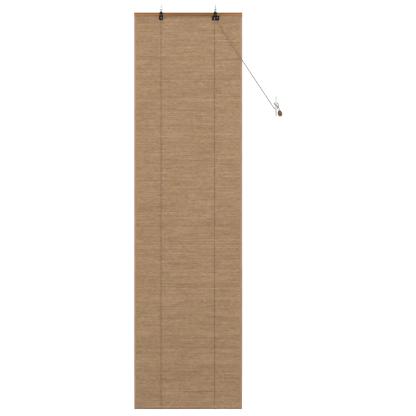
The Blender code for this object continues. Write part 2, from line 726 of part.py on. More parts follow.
def main():
    for obj in list(bpy.data.objects):
        bpy.data.objects.remove(obj)
    parts = collection("roll_up_blind")
    cutters = collection("cutters")
    reed = material("woven_bamboo", (0.42, 0.28, 0.17), 0.75)
    wood = material("batten_wood", (0.45, 0.20, 0.06), 0.5)
    rod_wood = material("rod_wood", (0.33, 0.15, 0.08), 0.6)
    tassel_wood = material("tassel_wood", (0.13, 0.06, 0.03), 0.4)
    rose = material("bead_wood", (0.55, 0.30, 0.24), 0.5)
    black = material("black_metal", (0.012, 0.012, 0.014), 0.4, 0.3)
    steel = material("bright_steel", (0.75, 0.75, 0.74), 0.25, 1.0)
    white = material("white_wheel", (0.75, 0.75, 0.72), 0.4)
    cotton = material("cord_cotton", (0.34, 0.25, 0.17), 0.9)
    clear = material("clear_plastic", (0.62, 0.76, 0.70), 0.2)
    grey = material("grey_cap", (0.35, 0.34, 0.33), 0.5)

    make_battens(parts, cutters, wood)
    for side, x in (("left", -HALF_SPAN), ("right", HALF_SPAN)):
        make_hook(side, x, parts, cutters, steel)
        make_loop(side, x, parts, cutters, black)
        make_bracket(side, x, parts, cutters, black, steel)
    make_left_block(parts, cutters, black, white, steel)
    make_right_block(parts, cutters, black, white, steel)
    last = make_mat(parts, reed)
    make_bottom_rod(last, parts, rod_wood, grey)
    make_cords(parts, cotton)
    make_cleat(parts, cutters, clear, steel)
    make_tassel(parts, tassel_wood, rose)


main()
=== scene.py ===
import json
import math

import bmesh
import bpy
import numpy as np
from mathutils import Euler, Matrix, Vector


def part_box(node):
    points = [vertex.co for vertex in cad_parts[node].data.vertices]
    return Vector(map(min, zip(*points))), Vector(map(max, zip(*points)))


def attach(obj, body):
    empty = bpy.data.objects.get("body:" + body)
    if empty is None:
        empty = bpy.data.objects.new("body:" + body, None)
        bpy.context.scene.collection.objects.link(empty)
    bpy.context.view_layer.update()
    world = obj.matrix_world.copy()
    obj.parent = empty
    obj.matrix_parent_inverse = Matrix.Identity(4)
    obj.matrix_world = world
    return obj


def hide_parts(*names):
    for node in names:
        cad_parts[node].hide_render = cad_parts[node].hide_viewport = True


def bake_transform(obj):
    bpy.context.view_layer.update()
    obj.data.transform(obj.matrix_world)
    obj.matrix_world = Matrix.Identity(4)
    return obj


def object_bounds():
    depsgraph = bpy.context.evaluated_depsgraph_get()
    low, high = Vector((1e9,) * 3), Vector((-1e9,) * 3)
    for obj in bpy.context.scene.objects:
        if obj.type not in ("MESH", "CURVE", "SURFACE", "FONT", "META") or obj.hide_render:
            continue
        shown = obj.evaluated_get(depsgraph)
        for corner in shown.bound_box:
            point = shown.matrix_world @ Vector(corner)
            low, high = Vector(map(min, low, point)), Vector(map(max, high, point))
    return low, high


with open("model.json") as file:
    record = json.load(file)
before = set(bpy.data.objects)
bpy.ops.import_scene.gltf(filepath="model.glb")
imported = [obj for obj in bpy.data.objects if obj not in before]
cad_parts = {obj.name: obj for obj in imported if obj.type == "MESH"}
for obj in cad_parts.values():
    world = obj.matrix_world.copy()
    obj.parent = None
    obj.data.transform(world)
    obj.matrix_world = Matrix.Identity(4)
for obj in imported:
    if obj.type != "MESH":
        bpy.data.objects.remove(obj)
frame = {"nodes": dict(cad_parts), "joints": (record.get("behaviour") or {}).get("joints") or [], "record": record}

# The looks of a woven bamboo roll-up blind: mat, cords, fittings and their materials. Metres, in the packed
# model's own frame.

cad_low, cad_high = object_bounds()
random = np.random.default_rng(7)

# Camera: level, square on, with a long lens
SENSOR = 0.036
CAMERA_DISTANCE = 8.0
VIEW_WIDTH = 2.3044
VIEW_CENTER = (0.1097, -1.1055)

# Studio: name, place, point aimed at, size and power of each light
FLOOR_DROP = 0.38
FLOOR_SIZE = 60
SURROUND_STRENGTH = 1.1
LIGHTS = (
    ("key_light", (0.35, -3.4, 0.35), (0.10, 0, -0.5), 0.9, 96),
    ("fill_light", (-2.6, -3.0, 0.2), (0, 0, -1.0), 2.4, 16),
    ("back_light", (-0.8, 3.4, 1.2), (0, 0, -1.0), 2.0, 50),
)

# Meshes: edges sharper than this stay sharp; turned pieces close at the tip's radius; margins of the bake map
SHARP_ANGLE = 50
TIP = 0.0001
MAP_GAP = 0.02
MAP_END = 0.012
MAP_ZIGZAG = 0.006

# Mat: splints across, pairs of threads down, a tape along each edge
SPLINT_PITCH = 0.0025
SPLINT_THICK = 0.0015
SPLINT_STATIONS = 11
SPLINT_SECTION = ((-1.0, 0.62), (-1.0, -0.62), (0.0, -1.0), (1.0, -0.62), (1.0, 0.62), (0.0, 1.0))
SPLINT_OVERLAP = (1.004, 1.014)
SPLINT_THINNING = (0.85, 1.0)
SPLINT_ROUGH = 0.05
KNOT_SPAN = (0.08, 0.92)
KNOT_SWELL = 0.16
KNOT_REACH = 0.0022
BEND_REACH = 0.010
TONE_KEPT = 0.5
TONE_STEP = 0.03
TONE_SPREAD = 0.07
THREAD_RADIUS = 0.00028
THREAD_COLUMNS = 8
THREAD_MARGIN = 0.030
THREAD_SPREAD = 0.00022
TAPE_WIDTH = 0.0095
TAPE_THICK = 0.00035
TAPE_CLEAR = 0.00004
TAPE_BULGE = 0.6
TAPE_STEP = 0.005
PUCKER = 0.00012
STITCH_STEP = 0.0055

# How the splints stray: size, turn along x, turn along z and start of each wave
RISE_WAVES = ((0.00026, 9, 9, 0), (0.00012, 16, -31, 1.3))
DEPTH_WAVES = ((0.00014, 13, 37, 0.7),)

# Lift cords: each goes down behind the mat, under the rod and up in front
LIFT_RADIUS = 0.0010
LIFT_FRONT_X = (-0.1505, 0.146)
LIFT_REAR_SHIFT = 0.004
LIFT_FRONT_Y = 0.010
LIFT_REAR_Y = 0.015
LIFT_TOPS = ((0.004, -0.0625), (0.001, -0.0650))
ANCHOR_Y = 0.018
ANCHOR_Z = -0.034
ANCHOR_DROP = 0.010
ROD_TURN = 0.0039
ROD_APPROACH = 0.020
LIFT_STEP = 0.0020

# Twist: strands and turns a metre
PULL_TWIST = (3, 105.0)
LIFT_TWIST = (3, 130.0)

# Pull cord: a tight run from the right block, two turns on the cleat and the tassel's drop
PULL_RADIUS = 0.0024
PULL_START = (0.1568, 0.0016, -0.0669)
PULL_ARRIVAL = (0.4740, 0.0055, -0.5490)
PULL_WOUND = (
    (0.4790, 0.0108, -0.5535), (0.4865, 0.0125, -0.5550), (0.4944, 0.0102, -0.5530), (0.4962, 0.0040, -0.5475),
    (0.4932, -0.0008, -0.5415), (0.4865, -0.0020, -0.5365), (0.4793, -0.0010, -0.5315), (0.4767, 0.0045, -0.5265),
    (0.4795, 0.0108, -0.5228), (0.4865, 0.0128, -0.5215), (0.4942, 0.0105, -0.5235), (0.4980, 0.0045, -0.5290),
    (0.5000, 0.0005, -0.5380), (0.5018, -0.0010, -0.5480),
)
PULL_END = (0.5030, -0.0015, -0.5572)
TAUT_STEPS = 36
TAUT_SAG = 0.003
PULL_SPACING = 0.0014
ROPE_STEP = 0.0009
# Painted light on the pull cord: fully lighter left of the first x, not at all right of the second, to offset the
# shade it gets over the mat
PAINTED_LIGHT_ZONE = (0.27, 0.33)

# Hooks (a screw thread, a flange and a wire bowl), hangers and brackets
HALF_SPAN = 0.150
THREAD_LENGTH = 0.025
THREAD_TIP = 0.016
THREAD_OUTER = 0.0019
THREAD_CORE = 0.0013
THREAD_PITCH = 0.0017
THREAD_STATIONS = 190
FLANGE_RADIUS = 0.0095
FLANGE_BELL = ((TIP, -0.0088), (0.0030, -0.0085), (0.0062, -0.0075), (0.0085, -0.0058), (FLANGE_RADIUS, -0.0040))
FLANGE_CROWN = ((FLANGE_RADIUS, -0.0040), (0.0093, -0.0030), (0.0076, -0.0018), (0.0048, -0.0008), (0.0030, 0.0))
HOOK_WIRE = 0.0014
HOOK_BOWL = 0.0045
HOOK_BOWL_Z = -0.0115
HOOK_NECK = ((0, -0.004), (0, -0.0056), (0.0009, -0.0066))
HOOK_POINT = (0.94, 0.76, 0.30)
LOOP_WIRE = 0.0012
LOOP_APEX_Z = -0.0131
LOOP_BASE_Z = -0.0300
LOOP_HALF_BASE = 0.0095
LOOP_FILLET = 0.0032
LOOP_CORNER = 0.0022
WEB_TOP = (0.0047, -0.0184)
WEB_BOTTOM = (0.0092, -0.0270)
WEB_THICK = 0.0012
STRAP_RADIUS = 0.0021
STRAP_THICK = 0.0012
STRAP_HALF_WIDTH = 0.0072
FOOT_HALF_WIDTH = 0.010
FOOT_TOP = -0.0352
FOOT_BOTTOM = -0.0395
FOOT_FLARE = 0.0006
SCREW_Z = -0.0362
SCREW_SEAT_Y = 0.0012
SCREW_SHANK = ((TIP, -0.0085), (0.0011, -0.0075), (0.0011, 0))
SCREW_DOME = ((0.0024, 0), (0.0022, 0.0006), (0.0014, 0.0012), (TIP, 0.0014))

# Wheels, batten, rod and tassel; the acorn's outline is in shares of its radius at heights below the bead
BORE_RADIUS = 0.00155
BATTEN_RIM = 0.0100
WORN_ENDS = (0.12, 0.28)
ROD_CHAMFER = 0.0004
CAP_ROOF = 0.0007
ROD_STATIONS = 60
LAST_SPLINT_INSET = 0.008
LAST_SPLINT_GAP = 0.0001
TIE_SHIFT = 0.0006
BEAD_OUTLINE = (
    (TIP, 0.0), (0.0026, -0.0003), (0.0041, -0.0018), (0.0044, -0.0035), (0.0038, -0.0053), (0.0024, -0.0064),
    (TIP, -0.0066),
)
ACORN_TOP = -0.0069
ACORN_RADIUS = 0.0125
ACORN_OUTLINE = (
    (0.0, 0.0), (0.36, -0.0004), (0.58, -0.0030), (0.80, -0.0080), (0.94, -0.0125), (0.995, -0.0160),
    (1.0, -0.0200), (0.95, -0.0255), (0.78, -0.0305), (0.48, -0.0340), (0.0, -0.0352),
)
ACORN_GROOVES = ((0.0005, -0.0128, 0.0006), (0.0004, -0.0144, 0.0005), (0.0004, -0.0345, 0.0005))
TASSEL_TILT = math.radians(12)

# Cleat: horn sizes at distances from its middle, neck sizes and foot insets at depths
CLEAT_PLACE = (0.4865, 0, -0.5415)
CLEAT_VOXEL = 0.0005
CLEAT_SMOOTHING = 6
HORN_LENGTH = 0.0555
HORN_TIP = 0.0045
HORN_EVEN = 0.050
HORN_ROUND_FROM = 0.051
HORN_ROUND = 0.0046
HORN_FRONT = ((0, 0.015, 0.035, 0.055), (0.0012, 0.0012, 0.0030, 0.0060))
HORN_BACK = ((0, 0.0105, 0.016, 0.035, 0.053), (0.0085, 0.0085, 0.0080, 0.0082, 0.0098))
HORN_HALF = ((0, 0.040, HORN_LENGTH), (0.0055, 0.0052, 0.0042))
NECK_DEPTHS = (0.004, 0.0222)
NECK_HALF_X = 0.0050
NECK_HALF_Z = ((0.006, 0.017, 0.0198, 0.022), (0.0085, 0.0085, 0.0100, 0.0120))
NECK_CORNER = 0.0020
FOOT_HALF = (0.0055, 0.0230)
FOOT_CORNER = 0.0040
FOOT_INSETS = ((0.0206, 0.0007), (0.0209, 0.0002), (0.0214, 0.0), (0.0237, 0.0), (0.0240, 0.0003))
CLEAT_SCREW_STEP = 0.0165
CLEAT_SEAT_Y = 0.0197
CLEAT_SCREW_SHANK = ((TIP, -0.0195), (0.0015, -0.016), (0.0015, 0))
CLEAT_SCREW_DOME = ((0.0029, 0), (0.0028, 0.0005), (0.0016, 0.0014), (TIP, 0.0017))

# Turns and directions
ALONG_Y = (math.radians(90), 0, 0)
ALONG_X = (0, math.radians(90), 0)
FROM_X = (0, math.radians(-90), 0)
X, Y, Z = np.eye(3)

joints = {joint["name"]: joint for joint in frame["joints"]}
body_of = {name: body for body, names in frame["record"]["behaviour"]["bodies"].items() for name in names}


# ---- Node materials ----


def new_material(name, **values):
    """A node material and its Principled shader, with constant inputs set by name."""
    made = bpy.data.materials.new(name)
    made.use_nodes = True
    shader = made.node_tree.nodes["Principled BSDF"]
    for key, value in values.items():
        shader.inputs[key.replace("_", " ").title().replace("Ior", "IOR")].default_value = value
    return made, made.node_tree, shader


def node(tree, kind, values=None, **settings):
    """A shader node with settings, its inputs given as numbers or linked from sockets."""
    made = tree.nodes.new("ShaderNode" + kind)
    for key, value in settings.items():
        setattr(made, key, value)
    for key, value in (values or {}).items():
        if isinstance(value, bpy.types.NodeSocket):
            tree.links.new(value, made.inputs[key])
        else:
            made.inputs[key].default_value = value
    return made


def place_of(tree, scale, rest=False, offset=(0, 0, 0)):
    """Coordinates on the piece, stretched; rest coordinates for pieces that bend."""
    if rest:
        source = node(tree, "Attribute", attribute_name="rest").outputs["Vector"]
    else:
        source = node(tree, "TexCoord").outputs["Object"]
    values = {"Vector": source, "Scale": scale, "Location": offset}
    return node(tree, "Mapping", values).outputs["Vector"]


def attribute(tree, name):
    """A number stored on the mesh's points."""
    return node(tree, "Attribute", attribute_name=name).outputs["Fac"]


def noise(tree, stretch, detail, rough, rest=False, offset=(0, 0, 0)):
    """Noise from 0 to 1 over the piece, finer where stretch is larger."""
    place = place_of(tree, stretch, rest, offset)
    values = {"Vector": place, "Scale": 1.0, "Detail": detail, "Roughness": rough}
    return node(tree, "TexNoise", values).outputs["Fac"]


def math_node(tree, operation, first, second=0.0, clamp=False):
    """One sum on two numbers or sockets."""
    return node(tree, "Math", {0: first, 1: second}, operation=operation, use_clamp=clamp).outputs[0]


def remap(tree, value, low, high, start, end):
    """A number from low to high, stretched to start to end and held there."""
    values = {"Value": value, "From Min": low, "From Max": high, "To Min": start, "To Max": end}
    return node(tree, "MapRange", values).outputs["Result"]


def ramp(tree, value, stops):
    """A colour ramp through (position, colour) stops."""
    made = node(tree, "ValToRGB", {"Fac": value})
    elements = made.color_ramp.elements
    while len(elements) < len(stops):
        elements.new(0.5)
    for element, (position, color) in zip(elements, stops):
        element.position = position
        element.color = (*color, 1.0)
    return made.outputs["Color"]


def mix(tree, share, first, second):
    """Two colours mixed by a share."""
    made = node(tree, "Mix", data_type="RGBA", blend_type="MIX")
    for index, value in ((0, share), (6, first), (7, second)):
        if isinstance(value, bpy.types.NodeSocket):
            tree.links.new(value, made.inputs[index])
        else:
            made.inputs[index].default_value = (*value, 1.0) if index else value
    return made.outputs[2]


def bump(tree, shader, height, distance):
    """Relief from a height, in metres at full height."""
    made = node(tree, "Bump", {"Height": height, "Distance": distance, "Strength": 1.0})
    tree.links.new(made.outputs["Normal"], shader.inputs["Normal"])


def link(tree, source, shader, name):
    """Links a socket to one of the shader's inputs."""
    tree.links.new(source, shader.inputs[name])


def bamboo_material():
    """Split bamboo: each splint its own tone, drawn-out fibres, darker knots and weathered streaks."""
    made, tree, shader = new_material("bamboo_splints", specular_ior_level=0.15)
    drift = noise(tree, (5.0, 1.0, 14.0), 4.0, 0.6, True)
    streak = noise(tree, (9.0, 40.0, 330.0), 3.0, 0.6, True)
    fleck = noise(tree, (60.0, 60.0, 300.0), 3.0, 0.6, True, (3.0, 0.0, 0.0))
    fibre = noise(tree, (60.0, 2500.0, 2500.0), 2.0, 0.6, True)
    tone = attribute(tree, "tone")
    for value, reach, change in ((streak, 0.25, 0.40), (fleck, 0.25, 0.46), (drift, 0.20, 0.07), (fibre, 0.25, 0.12)):
        tone = math_node(tree, "ADD", tone, remap(tree, value, 0.5 - reach, 0.5 + reach, -change, change))
    stops = [
        (0.00, (0.157, 0.095, 0.047)), (0.30, (0.208, 0.130, 0.068)), (0.55, (0.241, 0.154, 0.087)),
        (0.80, (0.277, 0.181, 0.106)), (1.00, (0.326, 0.220, 0.138)),
    ]
    color = ramp(tree, tone, stops)
    rosy = noise(tree, (9.0, 1.0, 70.0), 2.0, 0.5, True, (5.0, 0.0, 0.0))
    color = mix(tree, remap(tree, rosy, 0.55, 0.68, 0.0, 0.55), color, (0.240, 0.142, 0.108))
    knot = math_node(tree, "MULTIPLY", attribute(tree, "knot"), 0.40)
    color = mix(tree, knot, color, (0.125, 0.072, 0.038))
    link(tree, color, shader, "Base Color")
    link(tree, remap(tree, fibre, 0.2, 0.8, 0.60, 0.80), shader, "Roughness")
    bump(tree, shader, fibre, 0.00012)
    return made


def tape_material():
    """Narrow woven cotton tape along the mat's edges."""
    made, tree, shader = new_material("edge_tape", specular_ior_level=0.12, sheen_weight=0.08)
    place = place_of(tree, (1.0, 1.0, 1.0), True)
    apart = node(tree, "SeparateXYZ", {"Vector": place})
    across = math_node(tree, "SINE", math_node(tree, "MULTIPLY", apart.outputs["X"], 7850.0))
    along = math_node(tree, "SINE", math_node(tree, "MULTIPLY", apart.outputs["Z"], 6280.0))
    weave = math_node(tree, "MULTIPLY", across, along)
    patch = noise(tree, (30.0, 30.0, 12.0), 4.0, 0.6, True)
    color = ramp(tree, patch, [(0.3, (0.220, 0.130, 0.078)), (0.7, (0.272, 0.175, 0.110))])
    thread = remap(tree, weave, -1.0, 1.0, 0.0, 0.35)
    color = mix(tree, thread, color, (0.235, 0.132, 0.075))
    link(tree, color, shader, "Base Color")
    link(tree, remap(tree, patch, 0.3, 0.7, 0.8, 0.95), shader, "Roughness")
    bump(tree, shader, weave, 0.00008)
    return made


def cotton_material(name, light, dark, twist, painted_light=None):
    """Spun cotton: fibres along the thread, a darker strand where the mesh marks one, and, where given, painted
    light: a lighter colour over the mat that offsets the shade the cord gets there.
    """
    made, tree, shader = new_material(name, specular_ior_level=0.10, sheen_weight=0.08)
    fuzz = noise(tree, (900.0, 900.0, 350.0), 3.0, 0.7, True)
    patch = noise(tree, (25.0,) * 3, 2.0, 0.5, True)
    share = math_node(tree, "MULTIPLY", attribute(tree, "strand"), twist)
    share = math_node(tree, "ADD", share, remap(tree, fuzz, 0.3, 0.7, 0.0, 0.30))
    share = math_node(tree, "ADD", share, remap(tree, patch, 0.3, 0.7, -0.1, 0.15), True)
    color = mix(tree, share, light, dark)
    if painted_light:
        # Painted light: the cord is mixed towards a lighter colour over the mat, where it gets shade
        apart = node(tree, "SeparateXYZ", {"Vector": place_of(tree, (1, 1, 1), True)})
        color = mix(tree, remap(tree, apart.outputs["X"], *PAINTED_LIGHT_ZONE, 1.0, 0.0), color, painted_light)
    link(tree, color, shader, "Base Color")
    link(tree, remap(tree, fuzz, 0.2, 0.8, 0.8, 1.0), shader, "Roughness")
    bump(tree, shader, fuzz, 0.00012)
    return made


def wood_material(name, colors, stretch, roughness, coat=0.0, gloss=0.5, rings=None, edge=None):
    """Stained wood with its grain along the axis that stretch is smallest on.

    rings is the scale of the turned piece's year rings; edge is the middle, half height and dark depth of a
    batten whose ends are worn pale and whose top edge is dark.
    """
    made, tree, shader = new_material(name, coat_weight=coat, coat_roughness=0.2, specular_ior_level=gloss)
    grain = noise(tree, stretch, 5.0, 0.65)
    broad = noise(tree, tuple(0.22 * size for size in stretch), 2.0, 0.5)
    pore = noise(tree, tuple(3.5 * size for size in stretch), 2.0, 0.6)
    share = math_node(tree, "MULTIPLY", grain, 0.6)
    share = math_node(tree, "ADD", share, math_node(tree, "MULTIPLY", broad, 0.4))
    low, middle, high = colors
    color = ramp(tree, share, [(0.32, low), (0.50, middle), (0.66, high)])
    color = mix(tree, remap(tree, pore, 0.58, 0.72, 0.0, 0.45), color, low)
    if rings:
        wave = node(tree, "TexWave", {"Vector": place_of(tree, (1, 1, 1)), "Scale": rings, "Distortion": 3.0})
        wave.bands_direction = "Z"
        color = mix(tree, remap(tree, wave.outputs["Fac"], 0.55, 1.0, 0.0, 0.4), color, low)
    if edge:
        middle_z, half, depth = edge
        apart = node(tree, "SeparateXYZ", {"Vector": place_of(tree, (1, 1, 1))})
        off = math_node(tree, "SUBTRACT", apart.outputs["Z"], middle_z)
        ends = math_node(tree, "ABSOLUTE", apart.outputs["X"])
        pale = tuple(1.2 * c for c in high)
        color = mix(tree, remap(tree, ends, *WORN_ENDS, 0.0, 0.85), color, pale)
        rim = remap(tree, off, half - depth, half - depth * 0.3, 0.0, 0.85)
        color = mix(tree, rim, color, tuple(0.75 * c for c in low))
    link(tree, color, shader, "Base Color")
    link(tree, remap(tree, grain, 0.3, 0.7, roughness - 0.08, roughness + 0.12), shader, "Roughness")
    bump(tree, shader, pore, 0.00010)
    return made


def moulded_material(name, color, worn, roughness, grain_scale=900.0, **values):
    """Moulded plastic or lacquered metal: fine texture, faint mottling and rubbed patches."""
    made, tree, shader = new_material(name, **values)
    fine = noise(tree, (grain_scale,) * 3, 2.0, 0.5)
    mottle = noise(tree, (140.0,) * 3, 4.0, 0.6)
    rub = remap(tree, mottle, 0.60, 0.74, 0.0, 0.7)
    link(tree, mix(tree, rub, color, worn), shader, "Base Color")
    link(tree, remap(tree, mottle, 0.3, 0.75, roughness - 0.08, roughness + 0.14), shader, "Roughness")
    bump(tree, shader, fine, 0.00004)
    return made


def steel_material(name, light, dull):
    """Plated steel with fine drawn lines and a few dull spots."""
    made, tree, shader = new_material(name, metallic=1.0)
    drawn = noise(tree, (1500.0, 1500.0, 120.0), 3.0, 0.6)
    spot = noise(tree, (260.0,) * 3, 4.0, 0.6)
    clean, stained = (light, light, light * 0.985), (dull, dull * 0.98, dull * 0.94)
    color = mix(tree, remap(tree, spot, 0.56, 0.72, 0.0, 0.6), clean, stained)
    link(tree, color, shader, "Base Color")
    link(tree, remap(tree, drawn, 0.3, 0.7, 0.18, 0.34), shader, "Roughness")
    bump(tree, shader, drawn, 0.00003)
    return made


# ---- Meshes ----


def lofted(name, rings, finish, closed=False, **attributes):
    """One object from a tube's rings (station, point round, xyz), or from many tubes of them.

    Each tube gets a band of the map. A closed tube runs back to its first station; others get end faces.
    """
    rings = np.asarray(rings)
    rings = rings[None] if rings.ndim == 3 else rings
    tubes, stations, around, _ = rings.shape
    index = np.arange(tubes * stations * around).reshape(tubes, stations, around)
    if closed:
        index = np.concatenate([index, index[:, :1]], axis=1)
        stations += 1
    beside = np.roll(index, -1, axis=2)
    quads = np.stack([index[:, :-1], beside[:, :-1], beside[:, 1:], index[:, 1:]], axis=-1)
    faces = quads.reshape(-1, 4).tolist()
    band = (np.arange(tubes)[:, None] + np.arange(around + 1) / around * (1 - 2 * MAP_GAP) + MAP_GAP) / tubes
    u = np.linspace(MAP_GAP, 1 - MAP_GAP, stations)
    left = np.broadcast_to(u[None, :-1, None], quads.shape[:3])
    right = np.broadcast_to(u[None, 1:, None], quads.shape[:3])
    low = np.broadcast_to(band[:, None, :-1], quads.shape[:3])
    high = np.broadcast_to(band[:, None, 1:], quads.shape[:3])
    corners = np.stack([left, low, left, high, right, high, right, low], axis=-1).reshape(-1, 2)
    if not closed:
        faces += index[:, 0, ::-1].tolist() + index[:, -1].tolist()
        ends = np.zeros((2, tubes, around, 2))
        ends[0, ..., 0] = MAP_END + MAP_ZIGZAG * (np.arange(around) % 2)
        ends[1, ..., 0] = 1 - ends[0, ..., 0]
        ends[..., 1] = band[:, :-1]
        ends[0] = ends[0, :, ::-1]
        corners = np.concatenate([corners, ends.reshape(-1, 2)])
    mesh = bpy.data.meshes.new(name)
    points = rings.reshape(-1, 3)
    mesh.from_pydata(points.tolist(), [], faces)
    bands = mesh.uv_layers.new(name="OFBake")
    bands.data.foreach_set("uv", corners.astype(np.float32).ravel())
    store(mesh, "rest", points)
    for key, values in attributes.items():
        store(mesh, key, np.broadcast_to(values, rings.shape[:3]).reshape(-1))
    mesh.shade_smooth()
    mesh.set_sharp_from_angle(angle=math.radians(SHARP_ANGLE))
    mesh.materials.append(finish)
    made = bpy.data.objects.new(name, mesh)
    bpy.context.scene.collection.objects.link(made)
    return made


def store(mesh, name, values):
    """Stores a number or a place on each of the mesh's points."""
    kind, field = ("FLOAT_VECTOR", "vector") if values.ndim == 2 else ("FLOAT", "value")
    layer = mesh.attributes.new(name, kind, "POINT")
    layer.data.foreach_set(field, np.ascontiguousarray(values, dtype=np.float32).ravel())


def turned(name, profile, place, turn, finish, closed=False, around=40):
    """A turned piece: (radius, height) points, from the bottom up the outside, placed and turned."""
    profile = np.asarray(profile, float)
    angle = np.arange(around) / around * math.tau
    circle = np.stack([np.cos(angle), np.sin(angle), np.zeros(around)], axis=1)
    rings = profile[:, :1, None] * circle + profile[:, 1:, None] * Z
    return lofted(name, placed(rings, place, turn), finish, closed)


def placed(points, place, turn):
    """Points turned by three angles and moved to their place."""
    return points @ np.array(Euler(turn).to_matrix()).T + np.asarray(place, float)


def catmull(a, b, c, d, t):
    """A point on a Catmull-Rom curve between b and c."""
    return 0.5 * (2 * b + (c - a) * t + (2 * a - 5 * b + 4 * c - d) * t**2 + (3 * b - a - 3 * c + d) * t**3)


def laid(outline, place, across, up):
    """A flat outline set in space, its two directions given as vectors."""
    return np.asarray(place, float) + outline[:, :1] * across + outline[:, 1:] * np.asarray(up)


def curved(points, steps=None, spacing=None):
    """A smooth curve through points, with some steps from each to the next or steps of about one spacing."""
    points = [np.array(point, float) for point in points]
    ends = [points[0], *points, points[-1]]
    made = []
    for a, b, c, d in zip(ends, ends[1:], ends[2:], ends[3:]):
        count = steps or max(1, round(math.dist(b, c) / spacing))
        made += [catmull(a, b, c, d, k / count) for k in range(count)]
    return np.array([*made, points[-1]])


def arc(center, radius, start, end, steps):
    """Points along an arc, its angles in degrees."""
    angle = np.radians(np.linspace(start, end, steps + 1))
    return np.stack([center[0] + radius * np.cos(angle), center[1] + radius * np.sin(angle)], axis=1)


def soft_box(half_u, half_v, radius, steps=4):
    """A rectangle's outline with round corners."""
    corners = []
    for sign_u, sign_v, start in ((1, 1, 0), (-1, 1, 90), (-1, -1, 180), (1, -1, 270)):
        middle = (sign_u * (half_u - radius), sign_v * (half_v - radius))
        corners.append(arc(middle, radius, start, start + 90, steps))
    return np.concatenate(corners)


def tube(name, path, radii, finish, around=16, closed=False, across=None):
    """A round wire along a path, its radius one number or one for each point; across is square to a flat ring."""
    if across is None:
        sides, ups = frames_along(path)
    else:
        ahead = np.roll(path, -1, axis=0) - np.roll(path, 1, axis=0)
        ahead /= np.linalg.norm(ahead, axis=1, keepdims=True)
        sides = np.broadcast_to(across, path.shape)
        ups = np.cross(ahead, sides)
    angle = np.arange(around) / around * math.tau
    offset = sides[:, None] * np.cos(angle)[:, None] + ups[:, None] * np.sin(angle)[:, None]
    radii = np.broadcast_to(np.asarray(radii, float), len(path))
    rings = path[:, None] + offset * radii[:, None, None]
    return lofted(name, rings, finish, closed)


def frames_along(path):
    """Two unit vectors across each point of a path, turned as little as possible along it."""
    ahead = np.gradient(path, axis=0)
    ahead /= np.linalg.norm(ahead, axis=1, keepdims=True)
    side = np.cross(ahead[0], (0.31, 0.87, 0.39))
    sides = np.empty_like(path)
    for i, direction in enumerate(ahead):
        side = side - direction * (side @ direction)
        side /= np.linalg.norm(side)
        sides[i] = side
    return sides, np.cross(ahead, sides)


def lengths(path):
    """How far along a path each of its points is."""
    return np.concatenate([[0.0], np.cumsum(np.linalg.norm(np.diff(path, axis=0), axis=1))])


def spaced(path, step):
    """The same line with points an even step apart."""
    path = np.asarray(path, float)
    along = lengths(path)
    marks = np.linspace(0.0, along[-1], max(2, round(along[-1] / step) + 1))
    return np.stack([np.interp(marks, along, path[:, n]) for n in range(3)], axis=1)


def rope(path, radius, twist, around, start=0.0):
    """Rings of a twisted cord, and which strand each point is on (0 or 1)."""
    strands, turns_per_metre = twist
    sides, ups = frames_along(path)
    angle = np.arange(around) / around * math.tau
    turn = (start + lengths(path)) * turns_per_metre * math.tau
    reach = radius * (1.0 - 0.24 * np.abs(np.sin(strands * angle / 2)) ** 3)
    real = angle[None, :] + turn[:, None]
    offset = sides[:, None] * np.cos(real)[..., None] + ups[:, None] * np.sin(real)[..., None]
    rings = path[:, None] + offset * reach[None, :, None]
    marked = (np.round(angle / math.tau * strands) % strands == 0).astype(float)
    return rings, marked


def middle_of(cad_node):
    """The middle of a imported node's box."""
    low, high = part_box(cad_node)
    return [(a + b) / 2 for a, b in zip(low, high)]


def stand_for(piece, cad_node):
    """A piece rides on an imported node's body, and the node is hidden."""
    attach(piece, body_of[cad_node])
    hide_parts(cad_node)


# ---- Camera and pull cord ----


def make_camera():
    """The camera at the height of the blind's middle, square to the mat."""
    data = bpy.data.cameras.new("camera")
    data.sensor_width = SENSOR * 1000
    data.lens = SENSOR * 1000 * CAMERA_DISTANCE / VIEW_WIDTH
    camera = bpy.data.objects.new("camera", data)
    camera.location = (VIEW_CENTER[0], -CAMERA_DISTANCE, VIEW_CENTER[1])
    camera.rotation_euler = (math.radians(90), 0, 0)
    data.clip_end = 100.0
    bpy.context.scene.collection.objects.link(camera)
    bpy.context.scene.camera = camera


def pull_route():
    """The pull cord's line: a tight run, then a smooth curve through its turns on the cleat."""
    taut = np.linspace(PULL_START, PULL_ARRIVAL, TAUT_STEPS + 1)
    share = np.linspace(0.0, 1.0, TAUT_STEPS + 1)
    taut[:, 2] -= 4 * TAUT_SAG * share * (1 - share)
    return curved([*taut, *PULL_WOUND, PULL_END], spacing=PULL_SPACING)


def make_tassel(wood, rose):
    """The bead at the cord's end and the turned, grooved acorn under it."""
    pivot, turn = joints["tassel_swing"]["pos_m"], (0, -TASSEL_TILT, 0)
    bead = turned("bead", curved(BEAD_OUTLINE, 5)[::-1], pivot, turn, rose)
    stand_for(bead, "tassel_bead")
    outline = curved([(max(TIP, share * ACORN_RADIUS), ACORN_TOP + z) for share, z in ACORN_OUTLINE], 10)
    for depth, height, reach in ACORN_GROOVES:
        outline[:, 0] -= depth * np.exp(-(((outline[:, 1] - height) / reach) ** 2))
    acorn = turned("acorn", outline[::-1], pivot, turn, wood, around=64)
    stand_for(acorn, "tassel")
    return [acorn, bead]


def make_pull_cord(cotton, with_pieces):
    """The twisted pull cord, from the block to the tassel, with its wraps on the cleat."""
    path = spaced(pull_route(), ROPE_STEP)
    rings, marked = rope(path, PULL_RADIUS, PULL_TWIST, 12)
    cord = lofted("pull_cord_rope", rings, cotton, strand=marked)
    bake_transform(cord)
    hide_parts("pull_cord")


